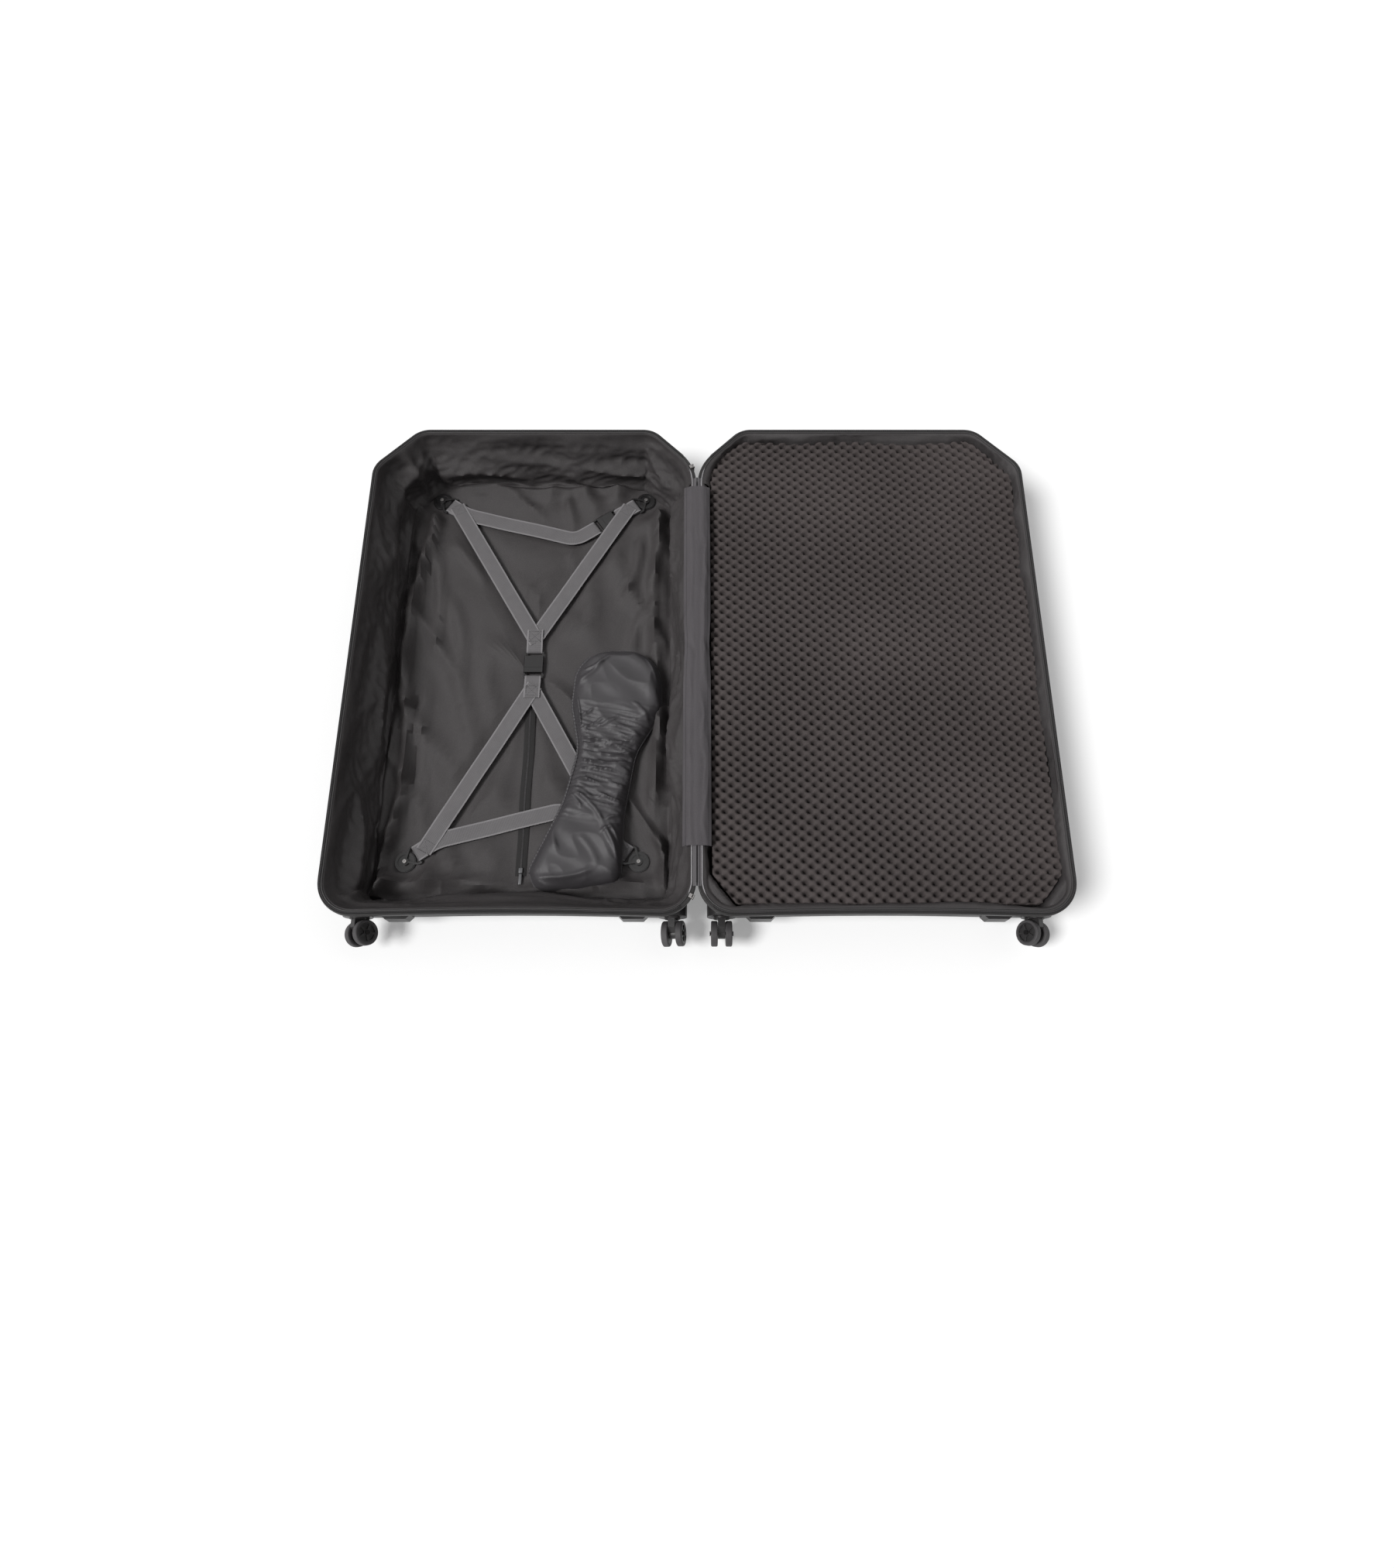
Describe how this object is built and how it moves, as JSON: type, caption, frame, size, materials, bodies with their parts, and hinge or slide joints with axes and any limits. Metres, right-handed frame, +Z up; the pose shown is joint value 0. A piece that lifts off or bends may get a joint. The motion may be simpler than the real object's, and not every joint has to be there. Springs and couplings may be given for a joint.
{
  "type": "bike travel case",
  "caption": "Hard-shell bike travel case lying open at its long hinge: strapped, lined base, foam-padded lid, and swivel casters along the near end.",
  "frame": {"origin": "centre of the floor contact rectangle, under the hinge line", "axes": "+X across from the base to the lid, +Y along the hinge away from the casters, +Z up"},
  "size_m": [1.56, 1.245, 0.1728],
  "materials": {
    "shell": "satin",
    "zip_tape": "woven",
    "piping": "satin",
    "hinge_band": "woven",
    "welt": "woven",
    "flap": "soft",
    "liner": "soft",
    "foam": "open cell",
    "hard_black": "satin",
    "screw": "bright",
    "webbing": "woven",
    "cover": "sheen",
    "tyre": "matt",
    "zip_metal": "satin"
  },
  "bodies": {
    "base": {"base_shell": "shell", "base_zip_tape": "zip_tape", "base_piping": "piping", "base_liner": "liner", "base_hinge_band": "hinge_band", "hinge_welt": "welt", "hinge_flap": "flap", "base_caster_bosses": "hard_black", "base_skid_feet": "hard_black", "handle_brackets": "hard_black", "zip_slider_near": "zip_metal", "zip_slider_far": "zip_metal", "anchor_discs": "hard_black", "anchor_loops": "hard_black", "anchor_screws": "screw", "top_strap": "webbing", "bottom_strap": "webbing", "cross_strap_upper": "webbing", "cross_strap_lower": "webbing", "buckle_sockets": "hard_black"},
    "lid": {"lid_shell": "shell", "lid_zip_tape": "zip_tape", "lid_piping": "piping", "lid_liner": "liner", "lid_hinge_band": "hinge_band", "lid_caster_bosses": "hard_black", "lid_skid_feet": "hard_black"},
    "foam": {"foam_pad": "foam"},
    "cover": {"drivetrain_cover": "cover"},
    "far_handle": {"far_handle": "hard_black"},
    "side_handle": {"side_handle": "hard_black"},
    "zip_pull_near": {"zip_pull_near": "zip_metal"},
    "zip_pull_far": {"zip_pull_far": "zip_metal"},
    "top_plug": {"top_buckle_plug": "hard_black"},
    "bottom_plug": {"bottom_buckle_plug": "hard_black"},
    "centre_plug": {"centre_buckle_plug": "hard_black"},
    "base_outer_swivel": {"base_outer_fork": "hard_black", "base_outer_axle": "screw"},
    "base_outer_left_wheel": {"base_outer_left_hub": "hard_black", "base_outer_left_tyre": "tyre"},
    "base_outer_right_wheel": {"base_outer_right_hub": "hard_black", "base_outer_right_tyre": "tyre"},
    "base_inner_swivel": {"base_inner_fork": "hard_black", "base_inner_axle": "screw"},
    "base_inner_left_wheel": {"base_inner_left_hub": "hard_black", "base_inner_left_tyre": "tyre"},
    "base_inner_right_wheel": {"base_inner_right_hub": "hard_black", "base_inner_right_tyre": "tyre"},
    "lid_inner_swivel": {"lid_inner_fork": "hard_black", "lid_inner_axle": "screw"},
    "lid_inner_left_wheel": {"lid_inner_left_hub": "hard_black", "lid_inner_left_tyre": "tyre"},
    "lid_inner_right_wheel": {"lid_inner_right_hub": "hard_black", "lid_inner_right_tyre": "tyre"},
    "lid_outer_swivel": {"lid_outer_fork": "hard_black", "lid_outer_axle": "screw"},
    "lid_outer_left_wheel": {"lid_outer_left_hub": "hard_black", "lid_outer_left_tyre": "tyre"},
    "lid_outer_right_wheel": {"lid_outer_right_hub": "hard_black", "lid_outer_right_tyre": "tyre"}
  },
  "joints": [
    {"name": "lid_hinge", "type": "hinge", "parent": "base", "child": "lid", "pos_m": [0, 0.0225, 0.169], "axis": [0, -1, 0], "range_deg": [0, 180], "deforming": ["hinge_flap"]},
    {"name": "foam_lift", "type": "slide", "parent": "lid", "child": "foam", "axis": [0, 0, -1], "range_m": [-0.25, 0]},
    {"name": "cover_lift", "type": "slide", "parent": "base", "child": "cover", "axis": [0, 0, -1], "range_m": [-0.25, 0]},
    {"name": "far_handle_swing", "type": "hinge", "parent": "base", "child": "far_handle", "pos_m": [-0.39075, 0.6163, 0.118], "axis": [1, 0, 0], "range_deg": [0, 95]},
    {"name": "side_handle_swing", "type": "hinge", "parent": "base", "child": "side_handle", "pos_m": [-0.7738, 0.0225, 0.118], "axis": [0, 1, 0], "range_deg": [0, 95]},
    {"name": "zip_pull_near_flip", "type": "hinge", "parent": "base", "child": "zip_pull_near", "pos_m": [-0.00771, -0.53755, 0.1677], "axis": [-0.454, -0.891, 0], "range_deg": [0, 170]},
    {"name": "zip_pull_far_flip", "type": "hinge", "parent": "base", "child": "zip_pull_far", "pos_m": [-0.0086, 0.51456, 0.1677], "axis": [0.3827, -0.9239, 0], "range_deg": [0, 170]},
    {"name": "top_buckle_release", "type": "slide", "parent": "base", "child": "top_plug", "axis": [-0.829, -0.5592, 0], "range_m": [0, 0.03], "deforming": ["top_strap"]},
    {"name": "bottom_buckle_release", "type": "slide", "parent": "base", "child": "bottom_plug", "axis": [-0.829, 0.5592, 0], "range_m": [0, 0.03], "deforming": ["bottom_strap"]},
    {"name": "centre_buckle_release", "type": "slide", "parent": "base", "child": "centre_plug", "axis": [0, -1, 0], "range_m": [0, 0.03], "deforming": ["cross_strap_lower"]},
    {"name": "base_outer_swivel", "type": "hinge", "parent": "base", "child": "base_outer_swivel", "pos_m": [-0.718, -0.5625, 0.08], "axis": [0, 1, 0], "continuous": true},
    {"name": "base_outer_left_spin", "type": "hinge", "parent": "base_outer_swivel", "child": "base_outer_left_wheel", "pos_m": [-0.71029, -0.5955, 0.07081], "axis": [0.766, 0, 0.6428], "continuous": true},
    {"name": "base_outer_right_spin", "type": "hinge", "parent": "base_outer_swivel", "child": "base_outer_right_wheel", "pos_m": [-0.71029, -0.5955, 0.07081], "axis": [0.766, 0, 0.6428], "continuous": true},
    {"name": "base_inner_swivel", "type": "hinge", "parent": "base", "child": "base_inner_swivel", "pos_m": [-0.052, -0.5625, 0.08], "axis": [0, 1, 0], "continuous": true},
    {"name": "base_inner_left_spin", "type": "hinge", "parent": "base_inner_swivel", "child": "base_inner_left_wheel", "pos_m": [-0.04951, -0.5955, 0.06826], "axis": [0.9781, 0, 0.2079], "continuous": true},
    {"name": "base_inner_right_spin", "type": "hinge", "parent": "base_inner_swivel", "child": "base_inner_right_wheel", "pos_m": [-0.04951, -0.5955, 0.06826], "axis": [0.9781, 0, 0.2079], "continuous": true},
    {"name": "lid_inner_swivel", "type": "hinge", "parent": "lid", "child": "lid_inner_swivel", "pos_m": [0.052, -0.5625, 0.08], "axis": [0, 1, 0], "continuous": true},
    {"name": "lid_inner_left_spin", "type": "hinge", "parent": "lid_inner_swivel", "child": "lid_inner_left_wheel", "pos_m": [0.052, -0.5955, 0.068], "axis": [1, 0, 0], "continuous": true},
    {"name": "lid_inner_right_spin", "type": "hinge", "parent": "lid_inner_swivel", "child": "lid_inner_right_wheel", "pos_m": [0.052, -0.5955, 0.068], "axis": [1, 0, 0], "continuous": true},
    {"name": "lid_outer_swivel", "type": "hinge", "parent": "lid", "child": "lid_outer_swivel", "pos_m": [0.718, -0.5625, 0.08], "axis": [0, 1, 0], "continuous": true},
    {"name": "lid_outer_left_spin", "type": "hinge", "parent": "lid_outer_swivel", "child": "lid_outer_left_wheel", "pos_m": [0.71095, -0.5955, 0.07029], "axis": [0.809, 0, -0.5878], "continuous": true},
    {"name": "lid_outer_right_spin", "type": "hinge", "parent": "lid_outer_swivel", "child": "lid_outer_right_wheel", "pos_m": [0.71095, -0.5955, 0.07029], "axis": [0.809, 0, -0.5878], "continuous": true}
  ]
}
